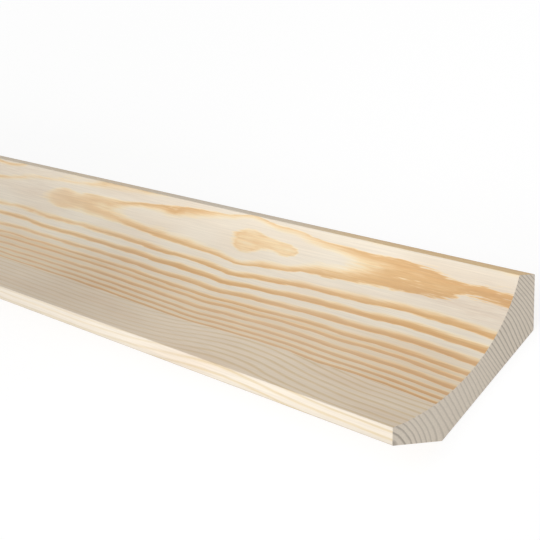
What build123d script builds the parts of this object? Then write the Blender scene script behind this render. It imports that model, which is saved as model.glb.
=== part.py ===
from build123d import *
import os
from math import cos, radians, sin, tan

# Cove moulding: one length of planed pine, lying on its back with the hollow face up.
# X runs along the stock, Y across it and Z up. The origin is under the middle of the back.

# Driving dimensions, in millimetres and degrees
length = 2400.0       # stock length between the two sawn ends
width = 69.0          # across the two outer corners, before they are eased
thickness = 16.0      # from the back to the tops of the lips, before they are eased
lip = 5.5             # narrow edge between the hollow face and each land
web = 7.6             # wood left under the deepest line of the hollow
corner_angle = 90.0   # corner between wall and ceiling that the two lands fit
arris = 0.3           # radius that eases the six long edges

# Each land slopes up from the back, and its lip stands square to it
land_slope = radians(90.0 - corner_angle / 2)


def half_outline():
    """Right side of the section as (Y, Z): the land from the back up to the outer corner, then the lip."""
    outer_corner = (width / 2, thickness - lip * cos(land_slope))
    lip_top = (width / 2 - lip * sin(land_slope), thickness)
    back_edge = (width / 2 - outer_corner[1] / tan(land_slope), 0.0)
    return Polyline(back_edge, outer_corner, lip_top)


def section():
    """Whole section: both sides, the flat back between them and the circular hollow between the lips."""
    right = half_outline()
    left = mirror(right, about=Plane.YZ)
    back = Line(left @ 0, right @ 0)
    hollow = ThreePointArc(right @ 1, (0.0, web), left @ 1)
    outline = make_face([*right.edges(), *left.edges(), back, hollow])
    return fillet(outline.vertices(), radius=arris)


def moulding():
    """The section carried along the stock, half to each side of the origin, with square sawn ends."""
    return extrude(Plane.YZ * section(), amount=length / 2, both=True)


os.makedirs("parts", exist_ok=True)
export_step(moulding(), "parts/cove_moulding.step")
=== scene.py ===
import math

import bpy
import numpy as np
from mathutils import Matrix, Vector


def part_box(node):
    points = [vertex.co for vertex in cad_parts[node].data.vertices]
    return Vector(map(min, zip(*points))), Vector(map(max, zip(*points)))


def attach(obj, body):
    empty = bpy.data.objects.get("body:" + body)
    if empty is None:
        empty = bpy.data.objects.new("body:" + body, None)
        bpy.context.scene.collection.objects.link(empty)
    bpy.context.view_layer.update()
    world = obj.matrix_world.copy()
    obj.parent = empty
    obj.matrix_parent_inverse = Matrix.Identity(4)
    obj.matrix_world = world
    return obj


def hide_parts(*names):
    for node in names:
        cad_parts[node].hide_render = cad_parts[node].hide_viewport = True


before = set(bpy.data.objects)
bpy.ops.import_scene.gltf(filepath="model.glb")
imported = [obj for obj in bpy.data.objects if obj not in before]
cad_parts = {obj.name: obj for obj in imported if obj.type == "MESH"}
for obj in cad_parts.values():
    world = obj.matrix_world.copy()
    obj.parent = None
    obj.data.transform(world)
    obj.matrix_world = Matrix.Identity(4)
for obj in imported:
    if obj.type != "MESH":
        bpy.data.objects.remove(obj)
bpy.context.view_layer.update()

mm = 0.001


def linear(hexColour):
    # sRGB hex to linear light, channel by channel through the sRGB curve
    channels = [int(hexColour[k:k + 2], 16) / 255 for k in (1, 3, 5)]
    return [c / 12.92 if c <= 0.04045 else ((c + 0.055) / 1.055) ** 2.4 for c in channels] + [1.0]


def addNode(tree, kind, inputs=None, stops=None, out=0, **settings):
    # one node with its settings, ramp stops and links or plain values; gives back its output
    node = tree.nodes.new(kind)
    for name, value in settings.items():
        setattr(node, name, value)
    if stops:
        marks = node.color_ramp.elements
        while len(marks) < len(stops):
            marks.new(1.0)
        for mark, (place, colour) in zip(marks, stops):
            mark.position = place
            mark.color = linear(colour)
    for socket, value in (inputs or {}).items():
        if isinstance(value, bpy.types.NodeSocket):
            tree.links.new(value, node.inputs[socket])
        else:
            node.inputs[socket].default_value = value
    return node.outputs[out] if node.outputs else node


def newTree(owner):
    owner.use_nodes = True
    owner.node_tree.nodes.clear()
    return owner.node_tree


# Moulding: the section in millimetres as machined, before its long edges are eased, and the mesh steps.
# The chain of steps under the piece, 20 + 4 + 15 + 3 from middle to apex, is as long as the chain over it,
# 3 + 5 + 4 + 30, so that the sawn ends are plain grids between the two.
moulding = {
    "width": 69.0,
    "thickness": 16.0,
    "lip": 5.5,
    "web": 7.6,            # wood under the deepest line of the hollow
    "arris": 0.3,          # radius that eases the long edges
    "landSlope": math.radians(45),
    "backSteps": 20,
    "landSteps": 15,
    "cornerSteps": 4,
    "apexSteps": 3,
    "lipSteps": 5,
    "hollowSteps": 30,
    "lengthSteps": 480,
    "endRows": 8,
    "sharpAngle": math.radians(40),    # an edge that turns more is drawn sharp
    # steps from an outer corner, and how much painted shade darkens the wood there
    "cornerShading": [(1, 1.0), (3, 0.25), (5, 0.0)],
    # shares of the bake map: gap between islands, row of the ends, their middles, hollow face with lips
    "bakeGap": 0.008,
    "bakeEnds": 0.085,
    "bakeMiddles": (0.25, 0.75),
    "bakeOver": 0.7,
}


def hollowArc():
    # circle through both lip tops and the deepest point:
    # radius = (half chord squared + depth squared) / (2 * depth)
    halfChord = moulding["width"] / 2 - moulding["lip"] * math.sin(moulding["landSlope"])
    depth = moulding["thickness"] - moulding["web"]
    radius = (halfChord ** 2 + depth ** 2) / (2 * depth)
    return radius, math.asin(halfChord / radius), halfChord


def easedCorner(corner, headingIn, headingOut, steps):
    # arc that touches both runs: it leaves each of them radius * tan(half the turn) from the corner
    radius = moulding["arris"]
    turn = headingOut - headingIn
    onward = np.array([math.cos(headingIn), math.sin(headingIn)])
    start = np.array(corner) - radius * math.tan(turn / 2) * onward
    centre = start + radius * np.array([-onward[1], onward[0]])
    angle = headingIn - math.pi / 2 + np.linspace(0, turn, steps + 1)
    return centre + radius * np.stack([np.cos(angle), np.sin(angle)], 1)


def between(start, end, steps):
    # evenly spaced points from start to end, without the two
    return start + (end - start) * (np.arange(1, steps) / steps)[:, None]


def halfSection():
    # right half as (y, z): mid back to apex under the piece, and apex to mid hollow over it
    slope, lip = moulding["landSlope"], moulding["lip"]
    radius, reach, halfChord = hollowArc()
    outer = (moulding["width"] / 2, moulding["thickness"] - lip * math.cos(slope))
    backEdge = (outer[0] - outer[1] / math.tan(slope), 0.0)
    lipTop = (halfChord, moulding["thickness"])
    lipHeading = slope + math.pi / 2
    hollowHeading = math.pi + reach
    half = moulding["apexSteps"]
    backCorner = easedCorner(backEdge, 0.0, slope, moulding["cornerSteps"])
    apex = easedCorner(outer, slope, lipHeading, 2 * half)
    lipCorner = easedCorner(lipTop, lipHeading, hollowHeading, moulding["cornerSteps"])
    eased = moulding["arris"] * math.tan((hollowHeading - lipHeading) / 2) / radius
    angle = np.linspace(reach - eased, 0, moulding["hollowSteps"] + 1)
    hollow = np.stack([radius * np.sin(angle), moulding["web"] + radius * (1 - np.cos(angle))], 1)
    under = np.concatenate([
        [[0.0, 0.0]], between(np.zeros(2), backCorner[0], moulding["backSteps"]), backCorner,
        between(backCorner[-1], apex[0], moulding["landSteps"]), apex[:half + 1]])
    over = np.concatenate([
        apex[half:], between(apex[-1], lipCorner[0], moulding["lipSteps"]), lipCorner, hollow[1:]])
    return under, over


def wholeSection():
    # both chains from front apex to rear apex, kept inside the CAD model's box
    lo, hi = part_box("cove_moulding")
    flip = np.array([-1.0, 1.0])
    under, over = halfSection()
    chains = [np.concatenate([under[::-1] * flip, under[1:]]), np.concatenate([over * flip, over[-2::-1]])]
    return [np.clip(chain, [lo.y / mm, max(lo.z, 0) / mm], [hi.y / mm, hi.z / mm]) for chain in chains]


# Timber: how the year rings lie in the piece, in millimetres. Along runs from the near sawn end, and girth
# runs up the hollow face from the top of the front lip. Most lists are pairs of a place along and a value.
timber = {
    "ease": 6.0,           # the lists that place the rings are rounded over this much to each side
    "easeSamples": 7,
    # girth where the hollow face lies along a ring instead of cutting across it
    "axis": [
        (0, 54.5), (20, 55.2), (40, 55.7), (60, 55.5), (80, 55.0), (100, 54.9), (150, 54.7), (200, 54.5),
        (240, 54.3), (300, 54.2), (340, 54.2), (380, 53.8), (430, 52.4), (520, 53.0), (650, 54.0),
        (800, 51.0), (950, 49.5), (1100, 51.0), (1300, 54.5), (1500, 53.0), (1700, 50.0), (1900, 48.5),
        (2100, 51.0), (2250, 53.5), (2400, 54.5)],
    # how far the rings bulge out of the face there, as a change in distance squared
    "swell": [
        (0, -3), (25, -3), (48, -4), (60, -4), (75, -6), (88, -5), (100, 0), (112, 4), (122, 6),
        (131, 14), (138, 28), (146, 34), (156, 37), (164, 43), (170, 60), (175, 70), (181, 70), (186, 61),
        (191, 47), (200, 39), (220, 30), (240, 27), (260, 10), (280, -2), (300, -5), (320, -9),
        (341, -11), (350, -14), (362, -13), (370, -18), (378, -34), (430, -45), (480, -30), (560, 20),
        (610, 62), (650, 95), (690, 60), (760, 25), (830, -15), (905, -40), (980, 10), (1040, 70),
        (1085, 40), (1150, -25), (1240, -60), (1330, -30), (1400, 35), (1450, 85), (1500, 120),
        (1560, 70), (1640, 15), (1720, -35), (1810, -20), (1890, 45), (1950, 30), (2040, -30),
        (2130, -55), (2220, 0), (2290, 55), (2340, 30), (2400, -10)],
    # how far the lower rings sit above their even place, and the girths where that starts and is full
    "settleFrom": 42.0,
    "settleFull": 22.0,
    "settle": [
        (0, -1.7), (40, -1.75), (80, -1.2), (100, -0.3), (130, -0.1), (160, -0.3), (200, -0.6),
        (225, -0.1), (250, 0.3), (300, 0.4), (340, 0.4), (400, 0.5), (520, 0.2), (700, -0.5), (900, 0.6),
        (1100, -0.4), (1300, 0.5), (1500, -0.8), (1700, 0.4), (1900, -0.5), (2100, 0.6), (2300, -0.3),
        (2400, 0.2)],
    # distance squared from the axis at which each ring ends, from the innermost out
    "ringEnds": [-210, -130, -50, 30, 137, 272, 434, 593, 705, 891, 1057, 1218, 1373, 1530, 1730, 2400],
    "firstRing": -3,
    # dents in the rings: along, girth, half length, half width, strength, and the distance squared reached
    "dents": [
        (14, 56.2, 34, 2.3, 1.6, 17), (66, 57.4, 26, 2.8, 1.6, 10), (60, 53.6, 24, 2.6, 1.6, 20),
        (84, 56.5, 11, 2.2, 0.4, -12), (70, 60.4, 16, 1.0, 0.2, -10), (8, 49.6, 28, 3.2, 2.0, 50),
        (24, 53.7, 6, 1.1, 0.9, 45), (26, 61.2, 18, 2.5, 2.0, 45), (0, 60.3, 9, 2.3, 1.6, 45),
        (126, 55.5, 24, 3.2, 1.1, -26), (177, 54.6, 10, 3.6, 1.5, -70), (162, 55.3, 14, 2.5, 1.5, -68),
        (146.5, 54.5, 9, 2.7, 1.5, -66), (247, 59.7, 8, 1.7, 1.2, 20), (268, 54.2, 22, 3.4, 1.3, -26),
        (338, 50.6, 5, 2.0, 0.35, 45), (342, 57.8, 4, 1.4, 0.4, 45), (385, 62.5, 85, 3.5, 0.7, 170),
        (445, 59.5, 38, 4.5, 1.0, 170), (432, 64.5, 26, 2.5, 1.0, 300), (412, 37.0, 30, 5.0, 0.18, 450),
        (357, 57.2, 9, 1.3, 0.5, -10), (357, 50.4, 9, 1.3, 0.4, -10), (328, 57.4, 9, 1.2, 0.25, -10),
        (655, 54.0, 20, 4.0, 1.2, -75), (1045, 50.5, 24, 3.0, 1.0, 40), (1420, 57.0, 20, 3.0, 1.0, 40),
        (1500, 55.5, 30, 3.0, 1.2, -80), (1895, 46.0, 26, 3.0, 1.0, 40), (2290, 52.0, 22, 3.5, 1.2, -60)],
    # how dark the late wood is: ring by ring, and along the piece in core, middle and outer rings
    "lastCore": 0,
    "lastMiddle": 5,
    "depths": [(2, 1.0), (3, 0.9), (4, 0.88), (5, 0.68), (6, 0.8), (7, 0.78), (8, 0.78), (9, 0.88)],
    "coreDepth": [
        (0, 1.0), (80, 0.98), (120, 0.94), (250, 0.95), (280, 0.92), (310, 0.87), (345, 0.74),
        (365, 0.66), (420, 0.76), (600, 1.0), (2400, 0.95)],
    "middleDepth": [
        (0, 1.0), (40, 1.0), (80, 0.94), (120, 0.88), (160, 0.97), (220, 0.97), (250, 0.9), (290, 0.86),
        (340, 0.92), (420, 0.88), (600, 1.0), (900, 0.8), (1200, 1.0), (1600, 0.9), (2000, 1.0),
        (2400, 0.9)],
    "outerDepth": [
        (0, 1.04), (30, 1.0), (60, 0.88), (120, 0.76), (180, 0.85), (240, 0.93), (300, 0.82), (420, 0.82),
        (600, 0.9), (1200, 1.0), (1800, 0.85), (2400, 1.0)],
    # how warm the wood is between the rings, by ring number
    "warmths": [
        (2.0, 0.0), (3.0, 0.12), (4.0, 0.22), (4.25, 0.5), (4.75, 0.5), (5.0, 0.26), (8.4, 0.3),
        (9.0, 0.2)],
    # ring numbers between which the heart gives way to the innermost ring, and that to the rings beyond
    "heartToInner": (-0.8, -0.65),
    "innerToOuter": (0.2, 0.35),
    # how early late wood comes in a ring: ring by ring, and along the piece beyond the innermost ring
    "tones": [
        (1, 1.04), (2, 1.28), (3, 1.18), (4, 1.12), (5, 1.3), (6, 1.22), (7, 1.22), (8, 1.3), (9, 1.2)],
    "bandTone": [
        (0, 1.1), (110, 1.08), (180, 1.05), (240, 1.08), (300, 1.08), (360, 1.04), (420, 1.04),
        (600, 1.0), (900, 1.1), (1200, 1.0), (1600, 1.1), (2000, 1.05), (2400, 1.1)],
    # the same in the heart and in the innermost ring, and what is left of it high on the face, which starts
    # so far above the axis and comes in over so much
    "heartTone": 0.88,
    "innerTone": [
        (0, 1.08), (90, 1.08), (130, 1.0), (200, 1.0), (230, 1.08), (270, 1.08), (290, 1.14), (305, 1.36),
        (340, 1.4), (380, 1.3), (450, 1.0), (600, 1.0), (700, 0.75), (900, 1.0), (1050, 0.7), (1200, 1.0),
        (1500, 0.78), (1700, 1.0), (1900, 0.7), (2100, 1.0), (2400, 0.8)],
    "upperStart": 3.5,
    "upperBlend": 2.0,
    "upperTone": [
        (0, 1.0), (95, 1.0), (125, 0.8), (200, 0.78), (230, 0.95), (265, 0.95), (300, 0.85), (330, 0.8),
        (420, 0.8), (480, 0.95), (800, 1.0), (950, 0.7), (1200, 1.0), (1650, 0.75), (2000, 1.0),
        (2400, 0.75)],
    # share of a ring over which its late wood fades out: heart, innermost ring and the rings beyond
    "heartSoft": 0.26,
    "innerSoft": [
        (0, 0.2), (90, 0.18), (130, 0.14), (200, 0.16), (270, 0.18), (290, 0.32), (305, 0.48), (380, 0.5),
        (430, 0.4), (600, 0.16), (900, 0.28), (1200, 0.16), (1600, 0.28), (2000, 0.16), (2400, 0.2)],
    "outerSoft": [
        (0, 0.17), (270, 0.17), (310, 0.3), (340, 0.36), (420, 0.38), (560, 0.17), (860, 0.3),
        (1150, 0.17), (1600, 0.28), (2000, 0.17), (2400, 0.2)],
    # how ragged the edges of the heart and the innermost ring are along the piece
    "ragged": [
        (0, 2.4), (50, 2.0), (80, 1.3), (120, 1.0), (420, 0.8), (700, 1.6), (1000, 0.9), (1400, 1.8),
        (1800, 1.0), (2100, 1.6), (2400, 1.2)],
    # fine lines low on the hollow face and on the front lip: their girths, how far they are lifted along the
    # piece, how much of that each girth takes, and how dark they are
    "edgeLines": [-8.5, -6.1, -3.7, -1.3, 0.4, 2.9, 5.7, 8.0, 10.4, 12.6, 14.5, 16.4, 18.3, 20.2, 22.1],
    "edgeLift": [
        (0, 0), (40, 0.5), (72, 2.6), (104, 5.7), (120, 6.2), (136, 5.9), (152, 4.5), (184, 0.2),
        (216, -1.8), (250, -2.2), (312, -1.7), (420, -0.6), (560, 2.0), (640, 4.2), (720, 1.5),
        (860, -1.0), (1000, -3.2), (1120, -4.0), (1240, -2.0), (1420, 1.0), (1580, 5.0), (1660, 2.5),
        (1800, -0.5), (1950, -2.6), (2080, -3.0), (2220, -0.8), (2400, 1.0)],
    "edgeShare": [(-3, 0.45), (-1, 0.5), (3.5, 0.78), (6.5, 1.0)],
    "edgeDepth": [
        (0, 1.0), (130, 1.0), (165, 0.62), (330, 0.55), (480, 0.65), (640, 0.9), (800, 0.5), (1120, 0.8),
        (1400, 0.45), (1600, 0.9), (1900, 0.5), (2400, 0.8)],
    # how much paler or darker the lower hollow face is along the piece, and the girths where that starts
    # and is full
    "paleFrom": 50.0,
    "paleFull": 36.0,
    "paleness": [
        (0, 1.0), (190, 1.0), (230, 0.975), (285, 0.975), (305, 1.0), (335, 1.06), (360, 1.085),
        (430, 1.1), (500, 1.04), (700, 0.97), (950, 1.04), (1250, 0.98), (1600, 1.05), (1950, 0.97),
        (2400, 1.03)],
    # dull hazes on the hollow face: along, girth, half length, half width and strength
    "hazes": [
        (0, 50.5, 34, 4.5, 0.48), (0, 55.6, 18, 1.8, 0.5), (10, 59.5, 34, 1.6, 0.2),
        (50, 51.4, 24, 1.3, 0.5), (300, 62.0, 45, 3.0, 0.2), (386, 54.0, 18, 3.0, 0.25),
        (425, 61.0, 60, 5.5, 0.28), (700, 46.0, 60, 6.0, 0.4), (1300, 52.0, 80, 5.0, 0.4),
        (2050, 47.0, 70, 6.0, 0.5)],
    # share of tan heart wood along the rear lip, and how far apart the rings lie there
    "rearHeart": [
        (0, 0.88), (60, 0.88), (110, 0.7), (150, 0.2), (200, 0.05), (250, 0.1), (300, 0.3), (340, 0.3),
        (420, 0.15), (600, 0.5), (760, 0.2), (1050, 0.6), (1300, 0.25), (1500, 0.6), (1800, 0.2),
        (2100, 0.5), (2400, 0.25)],
    "rearPitch": 1.3,
    # back and lands: how dark their lines are, and how warm the wood is
    "backDepth": 1.0,
    "backWarmth": 0.42,
    # rings across the sawn end: circles round the pith near the front lip, then lines that lean by a list
    # across the section times a list up it, and the places across between which they change over
    "pith": (-39.5, 11.7),
    "roundToStraight": (-24.0, -18.0),
    "roundRings": [(6.5, -5), (8.6, -4), (10.7, -3), (14.0, -1), (17.2, 1), (20.7, 3), (24.6, 5), (60, 23)],
    "straightRings": [
        (-40.0, -8), (-23.0, 1), (-13.5, 6), (-6.6, 10), (-0.9, 14), (3.5, 18), (8.0, 22), (13.6, 26),
        (19.3, 30), (25.4, 35), (36.0, 44.7)],
    "lean": [
        (-20, 0.17), (-14, 0.23), (-8, 0.32), (-3, 0.28), (1, 0.16), (5, 0.115), (9, 0.15), (13, 0.27),
        (17, 0.35), (20, 0.31), (24, 0.18), (32, 0.1)],
    "leanHeights": [(0, -5.5), (2, -3.5), (5.5, 0), (8, 2.0), (10, 2.6), (16, 2.9)],
    # how dark the ring lines are across the end
    "endDepth": [
        (-34, 0.95), (-30.5, 0.85), (-28.5, 0.65), (-25, 0.5), (-18, 0.42), (-8, 0.4), (4, 0.5),
        (9, 0.75), (14, 0.8), (24, 0.7), (36, 0.7)],
    # waves of the rear lip's, back's and lands' rings along the piece: length, height in rings, and start
    "waves": [(410, 0.8, 0.5), (173, 0.5, 2.0), (71, 0.2, 4.1)],
}


def listed(name, at):
    # straight lines between the listed points
    return np.interp(at, *np.array(timber[name], float).T)


def eased(name, along):
    # the same, averaged over a short length so that no corner shows
    offsets = np.linspace(-1, 1, timber["easeSamples"]) * timber["ease"]
    return np.mean([listed(name, along + offset) for offset in offsets], axis=0)


def bell(along, girth, x, s, halfLength, halfWidth):
    # 1 at (x, s), falling away as exp(-distance squared), with distance in half lengths and half widths
    return np.exp(-((along - x) / halfLength) ** 2 - ((girth - s) / halfWidth) ** 2)


def faceRings(along, girth):
    # a near-flat cut meets a round ring where
    # distance from the axis squared = the ring's own square + the swell
    low = np.clip((timber["settleFrom"] - girth) / (timber["settleFrom"] - timber["settleFull"]), 0, 1)
    placed = girth - eased("settle", along) * low * low * (3 - 2 * low)
    square = (placed - eased("axis", along)) ** 2 - eased("swell", along)
    # a dent draws it towards its own square, a positive one only outwards and a negative one only inwards
    for x, s, halfLength, halfWidth, strength, reach in timber["dents"]:
        spread = bell(along, girth, x, s, halfLength, halfWidth)
        pull = np.minimum(1, strength * spread) * (reach - square)
        square = square + np.where(pull * reach > 0, pull, 0)
    ends = timber["ringEnds"]
    return np.interp(square, ends, timber["firstRing"] + np.arange(len(ends)))


def edgeRings(along, girth):
    # lines at listed girths, all lifted together; on the front lip the lift is less
    lift = eased("edgeLift", along) * listed("edgeShare", girth)
    return np.interp(girth - lift, timber["edgeLines"], np.arange(len(timber["edgeLines"])))


def endRings(y, z):
    # near the pith, distance from it counted in rings, and further on the place across without its lean
    fromPith = listed("roundRings", np.hypot(y - timber["pith"][0], z - timber["pith"][1]))
    across = listed("straightRings", y - listed("lean", y) * listed("leanHeights", z))
    share = np.interp(y, timber["roundToStraight"], [0, 1])
    return fromPith * (1 - share) + across * share


def wander(along):
    # sum of sine waves of the listed lengths, heights and starts
    return sum(
        rings * np.sin(2 * math.pi * along / length + start) for length, rings, start in timber["waves"])


def grainOf(points, girth, over, paintedCornerShade, along):
    # ring numbers, tones and tints at every point of the skin, each a mix of its zones' values
    y, z = points[:, 1], points[:, 2]
    radius, reach = hollowArc()[:2]
    rearEdge = 2 * radius * reach
    onHollow = over & (girth > 0) & (girth < rearEdge)
    onRear = over & (girth >= rearEdge)
    cross = endRings(y, z)
    ringFace = faceRings(along, girth)
    ringCount = np.ceil(ringFace)
    toInner = np.interp(ringFace, timber["heartToInner"], [0, 1])
    toOuter = np.interp(ringFace, timber["innerToOuter"], [0, 1])
    tone = timber["heartTone"] + (listed("innerTone", along) - timber["heartTone"]) * toInner
    tone = tone + (listed("tones", ringCount) * listed("bandTone", along) - tone) * toOuter
    upper = np.clip((girth - listed("axis", along) - timber["upperStart"]) / timber["upperBlend"], 0, 1)
    soft = timber["heartSoft"] + (listed("innerSoft", along) - timber["heartSoft"]) * toInner
    soft = soft + (listed("outerSoft", along) - soft) * toOuter
    zoneDepth = np.select(
        [ringCount > timber["lastMiddle"], ringCount > timber["lastCore"]],
        [listed("outerDepth", along), listed("middleDepth", along)], listed("coreDepth", along))
    rearRings = (girth - rearEdge) / timber["rearPitch"] + wander(along)
    lower = np.clip((timber["paleFrom"] - girth) / (timber["paleFrom"] - timber["paleFull"]), 0, 1)
    haze = sum(strength * bell(along, girth, *place) for *place, strength in timber["hazes"])
    return {
        "ringFace": ringFace - soft / 2,
        "ringSoft": soft,
        "ragged": 1 + (listed("ragged", along) - 1) * (1 - toOuter),
        "ringTone": tone * (1 - upper * (1 - listed("upperTone", along))),
        "ringDepth": listed("depths", ringCount) * zoneDepth,
        "ringSide": np.select([onRear, over], [rearRings, edgeRings(along, girth)], cross + wander(along)),
        "lineDepth": np.where(over, listed("edgeDepth", along), timber["backDepth"]),
        "sideGrain": np.where(onHollow, 0.0, 1.0),
        "warmth": np.select([onHollow, over], [listed("warmths", ringFace), 0.0], timber["backWarmth"]),
        "heart": np.where(onRear, listed("rearHeart", along), 0.0),
        "paleness": 1 + (listed("paleness", along) - 1) * np.where(onHollow, lower, 0.0),
        "haze": np.where(onHollow, haze, 0.0),
        # painted shade on the outer corners, where the apexes turn away from the light
        "paintedCornerShade": paintedCornerShade,
        "ringEnd": cross,
        "endDepth": listed("endDepth", y),
    }


def endGrid(first, step, rows, chain, loopCount, inner):
    # index grid of one sawn end, from front to rear apex and from the chain under to the chain over
    grid = np.zeros((chain + 1, rows + 1), int)
    grid[:, -1] = first + np.arange(chain + 1)
    grid[:, 0] = first + (loopCount - np.arange(chain + 1)) % loopCount
    grid[1:-1, 1:-1] = inner + np.arange((chain - 1) * (rows - 1)).reshape(chain - 1, rows - 1)
    quads = np.stack([grid[1:-2, :-1], grid[2:-1, :-1], grid[2:-1, 1:], grid[1:-2, 1:]], -1).reshape(-1, 4)
    front = np.stack([np.full(rows, grid[0, 0]), grid[1, :-1], grid[1, 1:]], 1)
    rear = np.stack([grid[-2, :-1], np.full(rows, grid[-1, 0]), grid[-2, 1:]], 1)
    return quads[:, ::step], np.concatenate([front, rear])[:, ::step]


def buildMoulding(materials):
    # the section carried along X, closed at each end by a grid between the chains under and over the piece
    under, over = wholeSection()
    chain = len(over) - 1
    loop = np.concatenate([over, under[-2:0:-1]])
    count = len(loop)
    lo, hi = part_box("cove_moulding")
    xs = np.linspace(lo.x, hi.x, moulding["lengthSteps"] + 1) / mm
    stations = len(xs)
    body = np.column_stack([np.repeat(xs, count), np.tile(loop, (stations, 1))])
    rows = moulding["endRows"]
    share = (np.arange(1, rows) / rows)[None, :, None]
    inner = (under[1:-1, None] * (1 - share) + over[1:-1, None] * share).reshape(-1, 2)
    caps = [np.column_stack([np.full(len(inner), end), inner]) for end in (xs[0], xs[-1])]
    points = np.concatenate([body] + caps)

    step, turn = np.divmod(np.arange((stations - 1) * count), count)
    onward = (turn + 1) % count
    quads = np.stack([step * count + turn, (step + 1) * count + turn,
                      (step + 1) * count + onward, step * count + onward], 1)
    farEnd = endGrid(0, -1, rows, chain, count, len(body))
    nearEnd = endGrid((stations - 1) * count, 1, rows, chain, count, len(body) + len(inner))
    faces = quads.tolist()
    for part in farEnd + nearEnd:
        faces += part.tolist()
    mesh = bpy.data.meshes.new("pineMoulding")
    mesh.from_pydata((points * mm).tolist(), [], faces)

    # girth from the start of the loop, the place of the front lip's top, and steps to the nearer apex
    halfChord = hollowArc()[2]
    stride = np.linalg.norm(np.diff(loop, axis=0, append=loop[:1]), axis=1)
    girth = np.concatenate([[0.0], np.cumsum(stride)])
    lipTop = np.argmin(np.hypot(loop[:, 0] + halfChord, loop[:, 1] - moulding["thickness"]))
    index = np.arange(count)
    toApex = np.minimum(np.minimum(index, count - index), np.abs(index - chain))
    # painted shade along the outer corners, strongest at the apexes and gone a few steps away
    paintedCornerShade = np.interp(toApex, *np.array(moulding["cornerShading"]).T)
    spare = np.zeros(2 * len(inner))
    grain = grainOf(
        points, np.concatenate([np.tile(girth[:-1] - girth[lipTop], stations), spare]),
        np.concatenate([np.tile(index <= chain, stations), spare > 0]),
        np.concatenate([np.tile(paintedCornerShade, stations), spare]), xs[-1] - points[:, 0])
    for name, values in grain.items():
        mesh.attributes.new(name, "FLOAT", "POINT").data.foreach_set("value", values.astype(np.float32))

    for material in materials:
        mesh.materials.append(material)
    mesh.polygons.foreach_set("material_index", (np.arange(len(faces)) >= len(quads)).astype(np.int32))
    mesh.polygons.foreach_set("use_smooth", np.ones(len(faces), bool))
    mesh.set_sharp_from_angle(angle=moulding["sharpAngle"])
    bakeMap(mesh, points, girth, chain, step, turn)
    mesh.validate()
    mesh.update()
    piece = bpy.data.objects.new("pineMoulding", mesh)
    bpy.context.scene.collection.objects.link(piece)
    return piece


def bakeMap(mesh, points, girth, chain, step, turn):
    # two strips of half the length each, in which the hollow face and lips take most of the height, and
    # above them the two ends side by side
    gap, endRow = moulding["bakeGap"], moulding["bakeEnds"]
    nearMiddle, farMiddle = moulding["bakeMiddles"]
    across = np.interp(girth, [0, girth[chain], girth[-1]], [0, moulding["bakeOver"], 1])
    height = (1 - endRow - 3 * gap) / 2
    middle = moulding["lengthSteps"] // 2
    strip = (step >= middle)[:, None]
    u = gap + (1 - 2 * gap) * (step[:, None] + [0, 1, 1, 0] - strip * middle) / middle
    v = gap + strip * (height + gap) + height * across[turn[:, None] + [0, 0, 1, 1]]
    corners = np.zeros(len(mesh.loops), np.int32)
    mesh.loops.foreach_get("vertex_index", corners)
    ends = points[corners[4 * len(step):]]
    scale = (endRow - 2 * gap) / moulding["thickness"]
    endMap = np.column_stack([
        np.where(ends[:, 0] > 0, nearMiddle, farMiddle) + ends[:, 1] * scale,
        1 - endRow + ends[:, 2] * scale])
    both = np.concatenate([np.stack([u, v], -1).reshape(-1, 2), endMap])
    mesh.uv_layers.new(name="OFBake").data.foreach_set("uv", both.astype(np.float32).ravel())


# Planed pine: knife-planed redwood with a dull sheen. In each ring pale early wood turns slowly to tan late
# wood and stops short at the ring's end, short fibres streak both, and painted shade greys the outer
# corners.
pineLook = {
    "earlyWood": "#EDE2D0",
    "creamWood": "#F3E4C8",
    "goldWood": "#F3D9AE",
    "tanWood": "#EAC695",
    "lateWood": "#E1B882",
    "ringEdge": "#DAAB74",
    "edgeWood": "#EDE2D2",
    "edgeLine": "#E0CDA9",
    "heartWood": "#F7D092",
    "warmTint": "#F8D8A3",
    "blushTint": "#F4E8DE",
    "hazeTint": "#E6DAD3",
    # painted shade: the grey that darkens the outer corners
    "cornerShadeTint": "#C9C3BA",
    # how far through a ring, and through a fine line, each colour is reached
    "ringStops": [
        (0.0, "earlyWood"), (0.36, "earlyWood"), (0.47, "creamWood"), (0.58, "goldWood"), (0.68, "tanWood"),
        (0.79, "lateWood"), (1.0, "ringEdge")],
    "lineStops": [(0.0, "edgeLine"), (0.26, "edgeWood"), (0.74, "edgeWood"), (1.0, "edgeLine")],
    "ringsShown": (8.98, 9.02),    # ring numbers between which the rings give way to fine lines
    # waves in the wood: length and width in millimetres, noise detail, and how much of what they change.
    # A fibre, about 0.03 mm wide, is too fine to show, so fibres and streaks are drawn as coarse as bundles.
    "sway": (32.0, 7.0, 2.0, 0.30),        # rings
    "fibre": (12.0, 0.5, 2.0, 0.20),       # rings
    "fleck": (26.0, 1.3, 2.0, 0.06),       # tone of late wood
    "streak": (30.0, 0.35, 3.0, 0.08),     # brightness
    "blotch": (70.0, 9.0, 1.0, 0.35),      # share of blush
    # the part of each noise that is used, and how much the fibres break up the haze
    "spans": {"fleck": (0.3, 0.7), "streak": (0.2, 0.8), "blotch": (0.45, 0.75), "haze": (0.3, 0.7)},
    "hazeSwing": 0.5,
    "roughness": (0.52, 0.66),
    "ior": 1.48,
    "grainHeight": 0.03,                   # millimetres
    "grainStrength": 0.5,
}


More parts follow.
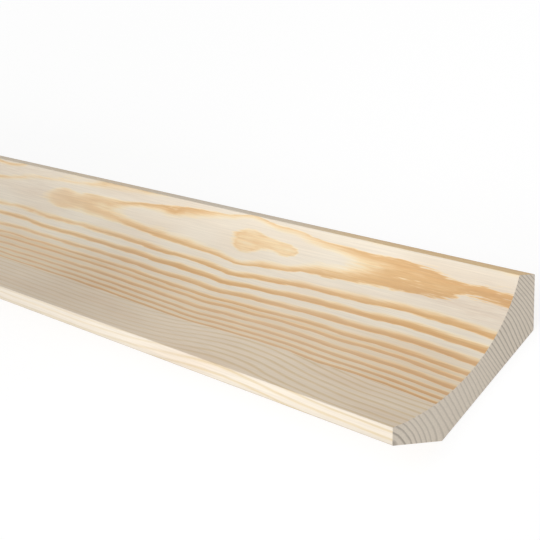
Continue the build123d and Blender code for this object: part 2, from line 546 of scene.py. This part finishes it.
def planedPine():
    material = bpy.data.materials.new("planed pine")
    tree = newTree(material)
    place = addNode(tree, "ShaderNodeTexCoord", out="Object")
    grain = {}
    for name in (
            "ringFace", "ringSoft", "ringTone", "ringDepth", "ragged", "ringSide", "lineDepth", "sideGrain",
            "heart", "warmth", "paleness", "haze", "paintedCornerShade"):
        grain[name] = addNode(tree, "ShaderNodeAttribute", out="Fac", attribute_name=name)
    wave = {}
    amount = {}
    for name in ("sway", "fibre", "fleck", "streak", "blotch"):
        length, width, detail, amount[name] = pineLook[name]
        stretched = addNode(tree, "ShaderNodeMapping", {
            "Vector": place, "Scale": (1 / (length * mm), 1 / (width * mm), 1 / (width * mm))})
        wave[name] = addNode(tree, "ShaderNodeTexNoise", {
            "Vector": stretched, "Scale": 1.0, "Detail": detail}, out="Fac")
    # noises that swing a value about 1
    swing = {}
    for name, noise, share in (
            ("fleck", wave["fleck"], amount["fleck"]), ("streak", wave["streak"], amount["streak"]),
            ("haze", wave["fibre"], pineLook["hazeSwing"])):
        low, high = pineLook["spans"][name]
        swing[name] = addNode(tree, "ShaderNodeMapRange", {
            "Value": noise, "From Min": low, "From Max": high, "To Min": 1 - share, "To Max": 1 + share})

    # ring number with the waves added, and how far through its ring each point is
    drift = addNode(tree, "ShaderNodeMath", {
        0: wave["sway"], 1: amount["sway"], 2: -amount["sway"] / 2}, operation="MULTIPLY_ADD")
    strand = addNode(tree, "ShaderNodeMath", {
        0: wave["fibre"], 1: amount["fibre"], 2: -amount["fibre"] / 2}, operation="MULTIPLY_ADD")
    drift = addNode(tree, "ShaderNodeMath", {
        0: strand, 1: grain["ragged"], 2: drift}, operation="MULTIPLY_ADD")
    ring = addNode(tree, "ShaderNodeMath", {0: grain["ringFace"], 1: drift}, operation="ADD")
    inRing = addNode(tree, "ShaderNodeMath", {0: ring}, operation="FRACT")
    left = addNode(tree, "ShaderNodeMath", {0: 1.0, 1: inRing}, operation="SUBTRACT")
    fade = addNode(tree, "ShaderNodeMapRange", {"Value": left, "From Max": grain["ringSoft"]})
    toned = inRing
    for factor in (grain["ringTone"], swing["fleck"], fade):
        toned = addNode(tree, "ShaderNodeMath", {0: toned, 1: factor}, operation="MULTIPLY")
    stops = [(at, pineLook[colour]) for at, colour in pineLook["ringStops"]]
    ringColour = addNode(tree, "ShaderNodeValToRGB", {"Fac": toned}, stops)
    face = addNode(tree, "ShaderNodeMix", {
        0: grain["ringDepth"], 6: linear(pineLook["earlyWood"]), 7: ringColour}, out=2, data_type="RGBA")

    # fine lines beyond the rings shown and on every face but the hollow
    line = addNode(tree, "ShaderNodeMath", {0: grain["ringSide"], 1: drift}, operation="ADD")
    inLine = addNode(tree, "ShaderNodeMath", {0: line}, operation="FRACT")
    stops = [(at, pineLook[colour]) for at, colour in pineLook["lineStops"]]
    lineColour = addNode(tree, "ShaderNodeValToRGB", {"Fac": inLine}, stops)
    edge = addNode(tree, "ShaderNodeMix", {
        0: grain["lineDepth"], 6: linear(pineLook["edgeWood"]), 7: lineColour}, out=2, data_type="RGBA")
    low, high = pineLook["ringsShown"]
    beyond = addNode(tree, "ShaderNodeMapRange", {"Value": ring, "From Min": low, "From Max": high})
    zone = addNode(tree, "ShaderNodeMath", {0: beyond, 1: grain["sideGrain"]}, operation="MAXIMUM")
    wood = addNode(tree, "ShaderNodeMix", {0: zone, 6: face, 7: edge}, out=2, data_type="RGBA")

    # heart wood along the rear lip, then tints over the whole, each a share of one colour that darkens what
    # is under it, and last the streaks and the slow change of brightness
    wood = addNode(tree, "ShaderNodeMix", {
        0: grain["heart"], 6: wood, 7: linear(pineLook["heartWood"])}, out=2, data_type="RGBA")
    low, high = pineLook["spans"]["blotch"]
    blush = addNode(tree, "ShaderNodeMapRange", {
        "Value": wave["blotch"], "From Min": low, "From Max": high, "To Max": amount["blotch"]})
    haze = addNode(tree, "ShaderNodeMath", {0: grain["haze"], 1: swing["haze"]}, operation="MULTIPLY")
    # the last tint is painted shade that greys the outer corners
    tints = {"warmTint": grain["warmth"], "blushTint": blush, "hazeTint": haze, "cornerShadeTint": grain["paintedCornerShade"]}
    for tint, share in tints.items():
        wood = addNode(tree, "ShaderNodeMix", {
            0: share, 6: wood, 7: linear(pineLook[tint])}, out=2, data_type="RGBA", blend_type="MULTIPLY")
    shade = addNode(tree, "ShaderNodeMath", {
        0: swing["streak"], 1: grain["paleness"]}, operation="MULTIPLY")
    wood = addNode(tree, "ShaderNodeMix", {
        0: 1.0, 6: wood, 7: shade}, out=2, data_type="RGBA", blend_type="MULTIPLY")

    smooth, rough = pineLook["roughness"]
    roughness = addNode(tree, "ShaderNodeMapRange", {
        "Value": wave["streak"], "To Min": smooth, "To Max": rough})
    bump = addNode(tree, "ShaderNodeBump", {
        "Height": wave["streak"], "Strength": pineLook["grainStrength"],
        "Distance": pineLook["grainHeight"] * mm})
    shader = addNode(tree, "ShaderNodeBsdfPrincipled", {
        "Base Color": wood, "Roughness": roughness, "IOR": pineLook["ior"], "Normal": bump})
    addNode(tree, "ShaderNodeOutputMaterial", {"Surface": shader})
    return material


# Sawn end of the same pine: cut fibre ends soak up light, so it is greyer and duller than the faces, and
# each ring's late wood is a thin dark line.
endLook = {
    "fibreEnds": "#E2D7C8",
    "ringLine": "#A99E91",
    # how far through a ring each colour is reached
    "stops": [
        (0.0, "ringLine"), (0.16, "fibreEnds"), (0.68, "fibreEnds"), (0.92, "ringLine"), (1.0, "ringLine")],
    "waves": (2.5, 1.0, 0.2),      # size in millimetres, noise detail, and how far they push the rings
    # torn fibre ends, drawn as coarse as bundles of fibres: size, detail, and how far lighter or darker
    "grit": (0.35, 2.0, 0.07),
    "gritSpan": (0.2, 0.8),        # the part of the noise that is used
    "roughness": 0.85,
    "ior": 1.48,
    "gritHeight": 0.05,            # millimetres
    "gritStrength": 0.6,
}


def sawnPine():
    material = bpy.data.materials.new("sawn pine end")
    tree = newTree(material)
    place = addNode(tree, "ShaderNodeTexCoord", out="Object")
    rings = addNode(tree, "ShaderNodeAttribute", out="Fac", attribute_name="ringEnd")
    depth = addNode(tree, "ShaderNodeAttribute", out="Fac", attribute_name="endDepth")
    size, detail, push = endLook["waves"]
    wave = addNode(tree, "ShaderNodeTexNoise", {
        "Vector": place, "Scale": 1 / (size * mm), "Detail": detail}, out="Fac")
    drift = addNode(tree, "ShaderNodeMath", {0: wave, 1: push, 2: -push / 2}, operation="MULTIPLY_ADD")
    ring = addNode(tree, "ShaderNodeMath", {0: rings, 1: drift}, operation="ADD")
    inRing = addNode(tree, "ShaderNodeMath", {0: ring}, operation="FRACT")
    stops = [(at, endLook[colour]) for at, colour in endLook["stops"]]
    colour = addNode(tree, "ShaderNodeValToRGB", {"Fac": inRing}, stops)
    colour = addNode(tree, "ShaderNodeMix", {
        0: depth, 6: linear(endLook["fibreEnds"]), 7: colour}, out=2, data_type="RGBA")
    size, detail, swing = endLook["grit"]
    grit = addNode(tree, "ShaderNodeTexNoise", {
        "Vector": place, "Scale": 1 / (size * mm), "Detail": detail}, out="Fac")
    low, high = endLook["gritSpan"]
    shade = addNode(tree, "ShaderNodeMapRange", {
        "Value": grit, "From Min": low, "From Max": high, "To Min": 1 - swing, "To Max": 1 + swing})
    colour = addNode(tree, "ShaderNodeMix", {
        0: 1.0, 6: colour, 7: shade}, out=2, data_type="RGBA", blend_type="MULTIPLY")
    bump = addNode(tree, "ShaderNodeBump", {
        "Height": grit, "Strength": endLook["gritStrength"], "Distance": endLook["gritHeight"] * mm})
    shader = addNode(tree, "ShaderNodeBsdfPrincipled", {
        "Base Color": colour, "Roughness": endLook["roughness"], "IOR": endLook["ior"], "Normal": bump})
    addNode(tree, "ShaderNodeOutputMaterial", {"Surface": shader})
    return material


piece = buildMoulding([planedPine(), sawnPine()])
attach(piece, "root")
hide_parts("cove_moulding")
print("moulding:", len(piece.data.polygons), "faces")


# White floor: seen plain white with a faint shadow, and a pale board to the light that it sends back up
floorLook = {
    "halfSide": 40.0,      # metres
    "below": 0.3,          # millimetres under the back, so that no two faces coincide
    "board": "#D8D8D6",
    "shadowShare": 0.18,
    "glow": 0.86,
}


def layFloor():
    reach, level = floorLook["halfSide"], -floorLook["below"] * mm
    mesh = bpy.data.meshes.new("floor")
    sides = [(-1, -1), (1, -1), (1, 1), (-1, 1)]
    mesh.from_pydata([(x * reach, y * reach, level) for x, y in sides], [], [(0, 1, 2, 3)])
    material = bpy.data.materials.new("matt white board")
    tree = newTree(material)
    seen = 0.0
    for ray in ("Is Camera Ray", "Is Glossy Ray", "Is Transmission Ray"):
        seen = addNode(tree, "ShaderNodeMath", {
            0: addNode(tree, "ShaderNodeLightPath", out=ray), 1: seen}, operation="MAXIMUM")
    plain = addNode(tree, "ShaderNodeBsdfDiffuse", {"Color": linear(floorLook["board"])})
    glow = addNode(tree, "ShaderNodeEmission", {"Color": (1, 1, 1, 1), "Strength": floorLook["glow"]})
    share = floorLook["shadowShare"]
    faint = addNode(tree, "ShaderNodeBsdfDiffuse", {"Color": (share, share, share, 1)})
    lit = addNode(tree, "ShaderNodeAddShader", {0: glow, 1: faint})
    both = addNode(tree, "ShaderNodeMixShader", {0: seen, 1: plain, 2: lit})
    addNode(tree, "ShaderNodeOutputMaterial", {"Surface": both})
    mesh.materials.append(material)
    floor = bpy.data.objects.new("floor", mesh)
    bpy.context.scene.collection.objects.link(floor)


# Studio light: a soft front light low across the hollow, a small soft lamp over the near end, and an even
# surround. Places and sizes are in millimetres.
light = {
    "frontPlace": (0, 0, 2000),
    "frontTowards": (0.37, -0.92, 0.07),
    "frontStrength": 0.84,         # share of a full white light
    "frontSpread": math.radians(50),
    "nearPlace": (1090, -85, 220),
    "nearAim": (1090, 0, 10),
    "nearSize": 160,
    "nearPower": 0.132,            # watts
    "surround": 0.58,
}


def setLamps():
    front = bpy.data.lights.new("frontLight", "SUN")
    front.energy = light["frontStrength"] * math.pi
    front.angle = light["frontSpread"]
    near = bpy.data.lights.new("nearLight", "AREA")
    near.energy = light["nearPower"]
    near.size = light["nearSize"] * mm
    # each lamp's own Z axis points away from what it lights
    nearTowards = Vector(light["nearPlace"]) - Vector(light["nearAim"])
    for lamp, place, towards in ((front, light["frontPlace"], Vector(light["frontTowards"])),
                                 (near, light["nearPlace"], nearTowards)):
        holder = bpy.data.objects.new(lamp.name, lamp)
        holder.location = Vector(place) * mm
        holder.rotation_euler = towards.to_track_quat("Z", "Y").to_euler()
        holder.visible_camera = False
        bpy.context.scene.collection.objects.link(holder)
    world = bpy.data.worlds.new("surround")
    tree = newTree(world)
    seen = addNode(tree, "ShaderNodeLightPath", out="Is Camera Ray")
    level = addNode(tree, "ShaderNodeMapRange", {"Value": seen, "To Min": light["surround"]})
    sky = addNode(tree, "ShaderNodeBackground", {"Color": (1, 1, 1, 1), "Strength": level})
    addNode(tree, "ShaderNodeOutputWorld", {"Surface": sky})
    bpy.context.scene.world = world


layFloor()
setLamps()
print("floor and light placed")

# Camera: a long lens near the end of the piece, rolled as the picture is
cameraView = {
    "lens": 157.64,
    "sensor": 36.0,
    "aim": (1045.5, 14.5, 8.0),          # millimetres
    "distance": 849.7,
    "azimuth": math.radians(75.65),
    "elevation": math.radians(24.285),
    "roll": math.radians(-43.16),
    "farClip": 200.0,                    # metres
}


def placeCamera():
    # back points from the aim to the camera, and right is the level direction turned by the roll
    az, el, roll = cameraView["azimuth"], cameraView["elevation"], cameraView["roll"]
    back = Vector((math.sin(az) * math.cos(el), -math.cos(az) * math.cos(el), math.sin(el)))
    level = Vector((math.cos(az), math.sin(az), 0))
    right = level * math.cos(roll) + back.cross(level) * math.sin(roll)
    data = bpy.data.cameras.new("camera")
    data.lens = cameraView["lens"]
    data.sensor_width = cameraView["sensor"]
    data.clip_end = cameraView["farClip"]
    camera = bpy.data.objects.new("camera", data)
    camera.location = (Vector(cameraView["aim"]) + back * cameraView["distance"]) * mm
    camera.rotation_euler = Matrix((right, back.cross(right), back)).transposed().to_euler()
    bpy.context.scene.collection.objects.link(camera)
    bpy.context.scene.camera = camera


placeCamera()
bpy.context.scene.view_settings.view_transform = "Standard"
print("camera placed")
